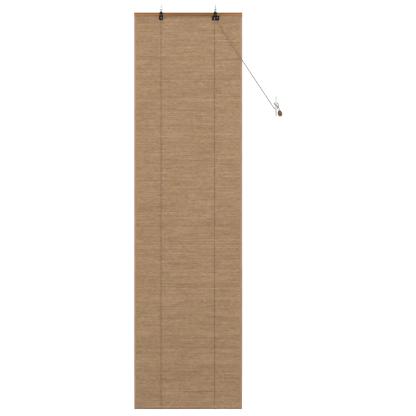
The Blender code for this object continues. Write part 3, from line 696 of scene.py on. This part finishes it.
make_camera()
# The pull cord's third colour is painted light: the lighter colour it is given where it crosses the mat, to offset
# the shade it gets there
tan, brown, painted_light_tan = (0.150, 0.105, 0.056), (0.095, 0.064, 0.032), (0.225, 0.150, 0.094)
pull_cotton = cotton_material("pull_cotton", tan, brown, 0.40, painted_light_tan)
walnut = ((0.040, 0.018, 0.009), (0.085, 0.046, 0.026), (0.135, 0.088, 0.046))
stained = wood_material("tassel_stain", walnut, (190.0, 190.0, 30.0), 0.45, coat=0.05, gloss=0.2, rings=150.0)
rose = ((0.30, 0.16, 0.12), (0.48, 0.28, 0.23), (0.60, 0.38, 0.32))
blush = wood_material("bead_stain", rose, (300.0, 300.0, 60.0), 0.4, coat=0.1, gloss=0.35)
make_pull_cord(pull_cotton, make_tassel(stained, blush))


# ---- Mat ----


def fold_joints():
    """The fold joints from the top one down."""
    named = [joint for name, joint in joints.items() if name.startswith("mat_fold_")]
    return sorted(named, key=lambda joint: -joint["pos_m"][2])


class Mat:
    """Where the mat's splints lie, and how it is shared out over the folds."""

    def __init__(self):
        low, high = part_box("mat_top")
        self.left, self.right = low[0], high[0]
        self.middle = (low[1] + high[1]) / 2
        self.top = high[2]
        self.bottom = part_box("mat_01")[0][2]
        self.count = round((self.top - self.bottom) / SPLINT_PITCH)
        self.pitch = (self.top - self.bottom) / self.count
        self.folds = fold_joints()
        heights = [joint["pos_m"][2] for joint in self.folds]
        middles = [(a + b) / 2 for a, b in zip(heights, heights[1:])]
        cuts = [round((self.top - z) / self.pitch) for z in middles]
        self.spans = list(zip([0, *cuts], [*cuts, self.count]))

    def height(self, index):
        """The height of the gap above a splint."""
        return self.top - np.asarray(index) * self.pitch

    def share(self, piece, fold):
        """Bakes a piece's place into its mesh; fold is not used."""
        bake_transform(piece)


def waver(x, z):
    """How far the splints stray up or down, and to front or back."""
    strays = []
    for waves in (RISE_WAVES, DEPTH_WAVES):
        strays.append(sum(size * np.sin(along * x + up * z + start) for size, along, up, start in waves))
    return strays


def make_splints(mat, first, last, label, bamboo, tones):
    """The splints of one stretch of the mat, each with two knots."""
    count = last - first
    z = mat.height(np.arange(first, last) + 0.5)[:, None]
    half = (mat.right - mat.left) / 2 - 2 * TAPE_THICK
    regular = np.broadcast_to(np.linspace(-half, half, SPLINT_STATIONS), (count, SPLINT_STATIONS))
    near_middle, near_end = KNOT_SPAN
    knots = random.uniform((-near_end, near_middle), (-near_middle, near_end), (count, 2)) * half
    near = knots[:, :, None] + np.array([-1, 0, 1]) * KNOT_REACH
    x = np.concatenate([regular, near.reshape(count, -1)], axis=1)
    at_knot = np.concatenate([np.zeros_like(regular), np.tile([0.0, 1.0, 0.0], (count, 2))], axis=1)
    order = np.argsort(x, axis=1)
    x, at_knot = np.take_along_axis(x, order, 1), np.take_along_axis(at_knot, order, 1)
    rise, depth = waver(x, z)
    size = 1 + KNOT_SWELL * at_knot + random.uniform(-SPLINT_ROUGH, SPLINT_ROUGH, x.shape)
    tall = mat.pitch / 2 * random.uniform(*SPLINT_OVERLAP, x.shape)
    thick = SPLINT_THICK / 2 * random.uniform(*SPLINT_THINNING, (count, 1)) * size
    outline_y, outline_z = np.transpose(SPLINT_SECTION)
    y = mat.middle + depth[..., None] + thick[..., None] * outline_y
    z = (z + rise)[..., None] + tall[..., None] * outline_z
    rings = np.stack([np.broadcast_to(x[..., None], y.shape), y, z], axis=-1)
    tone = tones[first:last, None, None]
    return lofted(f"mat_splints_{label}", rings, bamboo, tone=tone, knot=at_knot[..., None])


def make_threads(mat, first, last, label, cotton):
    """Pairs of threads down the mat, one in front of each splint and one behind, crossing between them."""
    steps = np.arange(2 * (last - first) + 1) / 2 + first
    columns = np.linspace(mat.left + THREAD_MARGIN, mat.right - THREAD_MARGIN, THREAD_COLUMNS)
    z = mat.height(steps)
    wave = np.where(steps % 1 == 0.5, np.where(np.floor(steps) % 2 == 0, 1.0, -1.0), 0.0)
    angle = np.arange(4) / 4 * math.tau + math.pi / 4
    rings = []
    for x in columns:
        rise, depth = waver(x, z)
        for sign in (-1, 1):
            y = mat.middle + depth + sign * wave * (SPLINT_THICK / 2 + THREAD_RADIUS * 0.9)
            apart = x + sign * THREAD_SPREAD * (1 - np.abs(wave))
            line = np.stack([apart, y, z + rise], axis=1)
            ring = np.stack([np.cos(angle), -np.sin(angle), np.zeros(4)], axis=1) * THREAD_RADIUS
            rings.append(line[:, None] + ring)
    return lofted(f"mat_threads_{label}", rings, cotton, strand=0.3)


def make_tapes(mat, first, last, label, tape):
    """A folded tape along each edge of the mat, gripping the splints' ends."""
    top, bottom = mat.height(first), mat.height(last)
    z = np.linspace(top, bottom, max(2, round((top - bottom) / TAPE_STEP) + 1))
    inside = SPLINT_THICK / 2 + TAPE_CLEAR
    outside = inside + TAPE_THICK
    profile = []
    for half, sign in ((outside, 1), (inside, -1)):
        profile.append((-TAPE_WIDTH, -sign * half))
        for bend in np.linspace(-math.pi / 2, math.pi / 2, 7):
            profile.append((half * TAPE_BULGE * math.cos(bend), sign * half * math.sin(bend)))
        profile.append((-TAPE_WIDTH, sign * half))
    profile = np.array(profile)
    profile[:, 0] -= outside * TAPE_BULGE
    rings = []
    for sign, edge in ((-1, mat.left), (1, mat.right)):
        around = profile if sign > 0 else profile[::-1]
        pucker = PUCKER * np.sin(z * math.tau / STITCH_STEP)[:, None]
        x = edge + sign * np.broadcast_to(around[:, 0], (len(z), len(around)))
        x = np.where(around[:, 0] < -TAPE_WIDTH / 2, x - sign * pucker, x)
        y = mat.middle + np.broadcast_to(around[:, 1], x.shape) * (1 + 40 * pucker)
        rings.append(np.stack([x, y, np.broadcast_to(z[:, None], x.shape)], axis=-1))
    return lofted(f"edge_tapes_{label}", rings, tape)


def make_lift_stretch(side, path, label, cotton, start):
    """One stretch of a lift cord as a twisted cord, its twist carried on from where it starts."""
    rings, marked = rope(path, LIFT_RADIUS, LIFT_TWIST, 9, start)
    made = lofted(f"lift_cord_{side}_{label}", rings, cotton, strand=marked)
    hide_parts(f"lift_cord_{side}")
    return made


def lift_lines(mat, x, top):
    """A lift cord's rear and front lines, each from the top down, and its turn under the rod."""
    rod_z = middle_of("bottom_rod")[2]
    fold_z = mat.folds[0]["pos_m"][2] + BEND_REACH
    rear_x = x + LIFT_REAR_SHIFT
    rear = [
        (rear_x, ANCHOR_Y, ANCHOR_Z),
        (rear_x, ANCHOR_Y, ANCHOR_Z - ANCHOR_DROP),
        (rear_x, LIFT_REAR_Y, fold_z),
        (rear_x, LIFT_REAR_Y, rod_z + ROD_APPROACH),
    ]
    front = [(x, *top), (x, LIFT_FRONT_Y, fold_z), (x, LIFT_FRONT_Y, rod_z + ROD_APPROACH)]
    turn = []
    for a in np.linspace(0, -math.pi, 13):
        share = -a / math.pi
        y, z = mat.middle + ROD_TURN * math.cos(a), rod_z + ROD_TURN * math.sin(a)
        turn.append((rear_x + (x - rear_x) * share, y, z))
    return rear, front, turn


def between(line, high, low):
    """The part of a falling line between two heights."""
    line = np.asarray(line, float)
    heights = line[:, 2]
    marks = [z for z in heights if low < z < high]
    levels = np.array([min(high, heights[0]), *marks, max(low, heights[-1])])
    return np.stack([np.interp(-levels, -heights, line[:, n]) for n in range(3)], axis=1)


def make_mat():
    """The whole mat, stretch by stretch, one for each fold, with the lift cords cut into the same stretches."""
    mat = Mat()
    bamboo, tape = bamboo_material(), tape_material()
    warp = cotton_material("warp_cotton", (0.34, 0.23, 0.14), (0.20, 0.125, 0.07), 0.5)
    lift = cotton_material("lift_cotton", (0.150, 0.100, 0.058), (0.078, 0.049, 0.028), 0.5)
    drift, level = [], 0.0
    for step in random.normal(0, 1, mat.count):
        level = TONE_KEPT * level + TONE_STEP * step
        drift.append(level)
    tones = 0.5 + np.array(drift) + random.normal(0, TONE_SPREAD, mat.count)
    lines = {side: lift_lines(mat, x, top) for side, x, top in zip(("left", "right"), LIFT_FRONT_X, LIFT_TOPS)}
    for (first, last), fold in zip(mat.spans, mat.folds):
        label = fold["child"].removeprefix("mat_")
        nodes = [fold["child"]] + (["mat_top"] if first == 0 else [])
        splints = make_splints(mat, first, last, label, bamboo, tones)
        threads = make_threads(mat, first, last, label, warp)
        tapes = make_tapes(mat, first, last, label, tape)
        for piece in (splints, threads, tapes):
            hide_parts(*nodes)
            mat.share(piece, fold)
        high, low = float(mat.height(first)), float(mat.height(last))
        high = 0.0 if first == 0 else high
        for side, (rear, front, _) in lines.items():
            for face, line in (("rear", rear), ("front", front)):
                stretch = between(line, high, low)
                path = spaced(stretch, LIFT_STEP)
                piece = make_lift_stretch(side, path, f"{face}_{label}", lift, abs(stretch[0][2]))
                mat.share(piece, fold)
    low = float(mat.height(mat.count))
    for side, (rear, front, turn) in lines.items():
        tail = [(*rear[-1][:2], low), *turn, (*front[-1][:2], low)]
        piece = make_lift_stretch(side, spaced(tail, LIFT_STEP / 2), "under_rod", lift, 0.0)
        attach(piece, "mat_01")


make_mat()


# ---- Fittings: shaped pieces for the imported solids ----


def make_hook(side, x, dark, bright):
    """A screw hook: a tapering thread, a domed flange and a wire bowl. The thread and bowl take the near-black steel,
    painted dark reflection and shade; the flange takes the bright steel.
    """
    around = 28
    angle = np.arange(around) / around * math.tau
    z = np.linspace(0.0, THREAD_LENGTH, THREAD_STATIONS)
    phase = (z[:, None] / THREAD_PITCH - angle / math.tau) % 1.0
    ridge = np.clip(1.6 - 4.0 * np.abs(phase - 0.5), 0.0, 1.0)
    taper = np.clip((THREAD_LENGTH + 0.0002 - z) / THREAD_TIP, 0.0, 1.0)[:, None] ** 0.6
    radius = (THREAD_CORE + (THREAD_OUTER - THREAD_CORE) * ridge) * taper
    heights = np.broadcast_to(z[:, None], radius.shape)
    rings = np.stack([x + radius * np.cos(angle), radius * np.sin(angle), heights], axis=-1)
    # The thread, and below it the bowl, take the near-black steel: painted dark reflection and shade
    thread = lofted(f"hook_thread_{side}", rings, dark)
    edge = [*curved(FLANGE_BELL, 4)[:-1], *curved(FLANGE_CROWN, 4), (TIP, 0.0)]
    flange = turned(f"hook_flange_{side}", edge, (x, 0, 0), (0, 0, 0), bright)
    bend = arc((0, HOOK_BOWL_Z), HOOK_BOWL, 60, -165, 40)
    line = np.concatenate([curved([*HOOK_NECK, bend[0]], 4)[:-1], bend])
    radii = np.full(len(line), HOOK_WIRE)
    radii[-3:] *= HOOK_POINT
    bowl = tube(f"hook_bowl_{side}", laid(line, (x, 0, 0), Y, Z), radii, dark)
    for piece in (thread, flange, bowl):
        stand_for(piece, f"hook_{side}")


def make_hanger(side, x, lacquer):
    """A triangular hanger: a round rim, and a thin web below the eye."""
    lean = math.degrees(math.atan2(LOOP_HALF_BASE, LOOP_APEX_Z - LOOP_BASE_Z))
    inner, low = LOOP_HALF_BASE - LOOP_CORNER, LOOP_BASE_Z + LOOP_CORNER
    outline = np.concatenate(
        [
            arc((0, LOOP_APEX_Z - LOOP_FILLET), LOOP_FILLET, lean, 180 - lean, 14),
            arc((-inner, low), LOOP_CORNER, 180 - lean, 270, 10),
            arc((inner, low), LOOP_CORNER, 270, 360 + lean, 10),
        ]
    )
    path = laid(outline, (x, 0, 0), X, Z)
    rim = tube(f"hanger_rim_{side}", path, LOOP_WIRE, lacquer, closed=True, across=Y)
    stand_for(rim, f"hanger_loop_{side}")
    rings = []
    for half, z in np.linspace(WEB_BOTTOM, WEB_TOP, 8):
        rings.append(laid(soft_box(half, WEB_THICK / 2, WEB_THICK * 0.4), (x, 0, z), X, Y))
    stand_for(lofted(f"hanger_web_{side}", rings, lacquer), f"hanger_loop_{side}")


def make_bracket(side, x, lacquer, steel):
    """A strap that curls over the hanger's base and widens to a foot, and its screw."""
    flare = FOOT_TOP + np.linspace(-FOOT_FLARE, FOOT_FLARE, 7)
    rise = np.unique(np.concatenate([np.linspace(FOOT_BOTTOM, LOOP_BASE_Z, 8), flare]))[:-1]
    curl = arc((0, LOOP_BASE_Z), STRAP_RADIUS, 0, 240, 28)
    middle = np.concatenate([np.column_stack([np.full(len(rise), STRAP_RADIUS), rise]), curl])
    ahead = np.gradient(middle, axis=0)
    ahead /= np.linalg.norm(ahead, axis=1, keepdims=True)
    foot = np.clip((FOOT_TOP + FOOT_FLARE - middle[:, 1]) / (2 * FOOT_FLARE), 0.0, 1.0)
    foot = foot * foot * (3 - 2 * foot)
    rings = []
    for (y, z), (ahead_y, ahead_z), share in zip(middle, ahead, foot):
        half = STRAP_HALF_WIDTH + (FOOT_HALF_WIDTH - STRAP_HALF_WIDTH) * share
        ring = soft_box(half, STRAP_THICK / 2, STRAP_THICK * 0.35)
        rings.append(laid(ring, (x, y, z), X, (0, ahead_z, -ahead_y)))
    stand_for(lofted(f"strap_{side}", rings, lacquer), f"bracket_{side}")
    screw = [*SCREW_SHANK, *curved(SCREW_DOME, 4)]
    screw = turned(f"strap_screw_{side}", screw, (x, SCREW_SEAT_Y, SCREW_Z), ALONG_Y, steel)
    stand_for(screw, f"bracket_screw_{side}")


def make_wheel(cad_node, radius, width, turn, plastic):
    """A grooved wheel with a bore and a rounded groove."""
    half, groove = width / 2, radius - width * 0.30
    flank = curved([(radius, -half * 0.72), (groove + 0.0002, -half * 0.3), (groove, 0)], 5)
    outer = [(BORE_RADIUS, -half), (radius - 0.0008, -half), (radius - 0.0002, -half + 0.0002), *flank]
    profile = outer + [(r, -z) for r, z in reversed(outer[:-1])]
    stand_for(turned(f"{cad_node}_wheel", profile, middle_of(cad_node), turn, plastic, True, 48), cad_node)


def make_rivet(cad_node, head, shank, steel):
    """An axle with a domed head at its front."""
    low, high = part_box(cad_node)
    x, _, z = middle_of(cad_node)
    rise = head * 0.38
    dome = curved([(head, 0), (head * 0.9, head * 0.17), (head * 0.5, head * 0.33), (TIP, rise)], 4)
    length = high[1] - low[1] - rise
    profile = [(TIP, -length), (shank, -length), (shank, 0), *dome]
    stand_for(turned(f"{cad_node}_rivet", profile, (x, low[1] + rise, z), ALONG_Y, steel), cad_node)


def make_rod(wood, plastic):
    """The rod along the mat's lower end, slightly uneven, and the cap on each of its ends."""
    low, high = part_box("bottom_rod")
    middle = middle_of("bottom_rod")
    radius, half = (high[2] - low[2]) / 2, (high[0] - low[0]) / 2
    end = [(TIP, half), (radius - ROD_CHAMFER, half), (radius, half - ROD_CHAMFER)]
    profile = [(r, -z) for r, z in end]
    for z in np.linspace(0.001 - half, half - 0.001, ROD_STATIONS):
        profile.append((radius * (1 + 0.012 * math.sin(57 * z)), z))
    profile += reversed(end)
    stand_for(turned("rod_wood", profile, middle, ALONG_X, wood, around=24), "bottom_rod")
    for side, turn, face in (("left", FROM_X, 0), ("right", ALONG_X, 1)):
        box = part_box(f"rod_cap_{side}")
        rim, length = (box[1][2] - box[0][2]) / 2, box[1][0] - box[0][0]
        inside = radius + 0.0003
        shell = [(inside, -length), (rim - 0.0003, -length), (rim, 0.0004 - length), (rim, -0.0012)]
        shell += [*curved([(rim - 0.0002, -0.0006), (rim - 0.0010, -0.0001), (TIP, 0.0)], 3)]
        shell += [(TIP, -CAP_ROOF), (inside, -CAP_ROOF)]
        place = (box[face][0], *middle[1:])
        cap = turned(f"rod_end_cap_{side}", shell, place, turn, plastic, True, 28)
        stand_for(cap, f"rod_cap_{side}")


def make_rod_ties(wood, cotton):
    """The last splint between the mat and the rod, and the pairs of threads that tie the rod on."""
    low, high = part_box("bottom_rod")
    _, middle_y, middle_z = middle_of("bottom_rod")
    (left, _, mat_low), (right, _, _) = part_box("mat_01")
    top, bottom = mat_low - LAST_SPLINT_GAP, high[2] + LAST_SPLINT_GAP
    rings = []
    for x in np.linspace(left + LAST_SPLINT_INSET, right - LAST_SPLINT_INSET, ROD_STATIONS):
        ring = soft_box(SPLINT_THICK / 2, (top - bottom) / 2 * (1 - 0.08 * math.sin(91 * x) ** 2), 0.0003)
        rings.append(laid(ring, (x, middle_y, (top + bottom) / 2), Y, Z))
    last_splint = lofted("last_splint", rings, wood)
    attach(last_splint, "mat_01")
    ring = arc((middle_y, middle_z), (high[2] - low[2]) / 2 + THREAD_RADIUS * 1.3, 0, 345, 23)
    columns = np.linspace(left + THREAD_MARGIN, right - THREAD_MARGIN, THREAD_COLUMNS)
    for number, x in enumerate(column + shift for column in columns for shift in (-TIE_SHIFT, TIE_SHIFT)):
        tie = tube(f"rod_tie_{number:02d}", laid(ring, (x, 0, 0), Y, Z), THREAD_RADIUS, cotton, 6, True, X)
        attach(tie, "mat_01")


def solid_of(parts, voxel, smoothing, name, finish):
    """Joins closed pieces into one moulded body with filleted joints, and shades it smooth."""
    joined = bmesh.new()
    for part in parts:
        joined.from_mesh(part.data)
    mesh = bpy.data.meshes.new(name)
    joined.to_mesh(mesh)
    joined.free()
    made = bpy.data.objects.new(name, mesh)
    bpy.context.scene.collection.objects.link(made)
    remesh = made.modifiers.new("Remesh", "REMESH")
    remesh.mode = "VOXEL"
    remesh.voxel_size = voxel
    settle = made.modifiers.new("Smooth", "SMOOTH")
    settle.factor, settle.iterations = 0.5, smoothing
    bpy.context.view_layer.update()
    graph = bpy.context.evaluated_depsgraph_get()
    final = bpy.data.meshes.new_from_object(made.evaluated_get(graph), depsgraph=graph)
    made.modifiers.clear()
    made.data = final
    final.shade_smooth()
    final.materials.clear()
    final.materials.append(finish)
    for part in parts:
        bpy.data.objects.remove(part)
    return made


def cleat_horns(x, middle_z, clear):
    """The cleat's bar, with its ends bent forward and rounded."""
    end = HORN_TIP * (1 - np.cos(np.linspace(0, math.pi / 2, 7)))
    even = np.linspace(-HORN_EVEN, HORN_EVEN, 41)
    rings = []
    for z in np.concatenate([end - HORN_LENGTH, even, HORN_LENGTH - end[::-1]]):
        front, back, half = (np.interp(abs(z), *sizes) for sizes in (HORN_FRONT, HORN_BACK, HORN_HALF))
        close = math.sqrt(max(0.02, 1 - max(0.0, (abs(z) - HORN_ROUND_FROM) / HORN_ROUND) ** 2))
        thick = (back - front) / 2
        ring = soft_box(half * close, thick * close, min(half, thick) * 0.55 * close)
        rings.append(laid(ring, (x, (front + back) / 2, middle_z + z), X, Y))
    return lofted("cleat_horns", rings, clear)


def cleat_neck(x, middle_z, clear):
    """The post between the bar and the foot, which widens at its back."""
    rings = []
    for y in np.linspace(*NECK_DEPTHS, 20):
        ring = soft_box(NECK_HALF_X, np.interp(y, *NECK_HALF_Z), NECK_CORNER)
        rings.append(laid(ring, (x, y, middle_z), X, -Z))
    return lofted("cleat_neck", rings, clear)


def cleat_foot(x, middle_z, clear):
    """The plate that the screws go through."""
    rings = []
    for y, inset in FOOT_INSETS:
        ring = soft_box(FOOT_HALF[0] - inset, FOOT_HALF[1] - inset, FOOT_CORNER)
        rings.append(laid(ring, (x, y, middle_z), X, -Z))
    return lofted("cleat_foot", rings, clear)


def make_cleat(clear, steel):
    """A moulded two-horned cleat with filleted neck and foot, and its screws."""
    x, _, middle_z = CLEAT_PLACE
    parts = [make(x, middle_z, clear) for make in (cleat_horns, cleat_neck, cleat_foot)]
    stand_for(solid_of(parts, CLEAT_VOXEL, CLEAT_SMOOTHING, "cleat_body", clear), "cleat")
    for side, sign in (("upper", 1), ("lower", -1)):
        profile = [*CLEAT_SCREW_SHANK, *curved(CLEAT_SCREW_DOME, 4)]
        place = (x, CLEAT_SEAT_Y, middle_z + sign * CLEAT_SCREW_STEP)
        screw = turned(f"cleat_screw_head_{side}", profile, place, ALONG_Y, steel)
        stand_for(screw, f"cleat_screw_{side}")


def paint(material, *names):
    """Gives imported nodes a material."""
    for name in names:
        solid = frame["nodes"][name]
        solid.data.materials.clear()
        solid.data.materials.append(material)


def make_hardware(steel):
    """The hooks, hangers and brackets, and the blocks with their wheels and axles."""
    lacquer = moulded_material(
        "black_lacquer", (0.004, 0.005, 0.005), (0.012, 0.012, 0.011), 0.50, 500.0, specular_ior_level=0.05
    )
    # The near-black steel is painted dark reflection and shade: the hooks' threads and bowls are the same steel as
    # their bright flanges
    bright, dark = steel_material("bright_steel", 0.62, 0.36), steel_material("hook_steel_painted_dark", 0.022, 0.010)
    for side, x in (("left", -HALF_SPAN), ("right", HALF_SPAN)):
        make_hook(side, x, dark, bright)
        make_hanger(side, x, lacquer)
        make_bracket(side, x, lacquer, steel)
    black = moulded_material(
        "black_plastic", (0.004, 0.004, 0.004), (0.009, 0.008, 0.007), 0.55, specular_ior_level=0.03
    )
    paint(black, "block_left", "block_right")
    # The wheels' grey is partly grey plastic and partly painted shade: it is darkened to how the wheels look in the
    # shade of their blocks
    light, worn = (0.15, 0.145, 0.14), (0.10, 0.098, 0.095)
    pale = moulded_material("wheel_plastic_painted_shade", light, worn, 0.45, specular_ior_level=0.3)
    make_wheel("sheave_left", 0.0065, 0.005, ALONG_Y, pale)
    make_wheel("sheave_right", 0.0062, 0.005, ALONG_X, pale)
    make_wheel("roller_right", 0.0082, 0.0068, ALONG_Y, black)
    make_rivet("axle_left", 0.0038, 0.00125, steel)
    make_rivet("axle_roller", 0.0031, 0.00125, steel_material("pin_steel", 0.16, 0.09))
    paint(steel, "axle_right")


def make_fittings():
    """Every other piece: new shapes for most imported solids, and materials for those that are kept."""
    low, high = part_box("batten_front")
    edge = ((low[2] + high[2]) / 2, (high[2] - low[2]) / 2, BATTEN_RIM)
    oak = ((0.088, 0.034, 0.009), (0.148, 0.060, 0.015), (0.208, 0.094, 0.029))
    batten = wood_material("batten_stain", oak, (9.0, 160.0, 160.0), 0.5, gloss=0.08, edge=edge)
    paint(batten, "batten_front", "batten_rear")
    russet = ((0.080, 0.038, 0.020), (0.135, 0.070, 0.038), (0.190, 0.105, 0.058))
    rod_stain = wood_material("rod_stain", russet, (9.0, 260.0, 260.0), 0.6, gloss=0.08)
    grey = moulded_material("grey_plastic", (0.12, 0.12, 0.13), (0.08, 0.08, 0.085), 0.5, specular_ior_level=0.3)
    make_rod(rod_stain, grey)
    make_rod_ties(rod_stain, cotton_material("tie_cotton", (0.34, 0.23, 0.14), (0.20, 0.125, 0.07), 0.5))
    rivet_steel = steel_material("rivet_steel", 0.09, 0.04)
    make_hardware(rivet_steel)
    optics = {"transmission_weight": 0.12, "ior": 1.49, "specular_ior_level": 0.15}
    glassy, scuffed = (0.385, 0.415, 0.405), (0.335, 0.375, 0.355)
    clear = moulded_material("clear_plastic", glassy, scuffed, 0.30, 600.0, **optics)
    make_cleat(clear, rivet_steel)
    paint(cotton_material("cross_cotton", (0.20, 0.132, 0.075), (0.10, 0.062, 0.034), 0.5), "cross_cord")


make_fittings()


# ---- Floor, surround and lights ----


def make_studio():
    """A pale floor well below the blind, a white surround and soft lights."""
    bpy.ops.mesh.primitive_plane_add(size=FLOOR_SIZE, location=(0, 0, cad_low[2] - FLOOR_DROP))
    floor = bpy.context.object
    floor.name = "floor"
    made, tree, shader = new_material("floor_paint", specular_ior_level=0.0)
    speckle = noise(tree, (14.0,) * 3, 3.0, 0.5)
    link(tree, ramp(tree, speckle, [(0.0, (0.93,) * 3), (1.0, (0.96,) * 3)]), shader, "Base Color")
    floor.data.materials.append(made)
    world = bpy.data.worlds.new("surround")
    bpy.context.scene.world = world
    world.use_nodes = True
    background = world.node_tree.nodes["Background"]
    background.inputs["Color"].default_value = (1, 1, 1, 1)
    background.inputs["Strength"].default_value = SURROUND_STRENGTH
    for name, place, aim, size, power in LIGHTS:
        data = bpy.data.lights.new(name, "AREA")
        data.size = size
        data.energy = power
        lamp = bpy.data.objects.new(name, data)
        lamp.location = place
        away = np.array(place) - np.array(aim)
        level = math.hypot(away[0], away[1])
        lamp.rotation_euler = (math.atan2(level, away[2]), 0, math.atan2(away[0], -away[1]))
        bpy.context.scene.collection.objects.link(lamp)
    bpy.context.scene.view_settings.view_transform = "Standard"


make_studio()
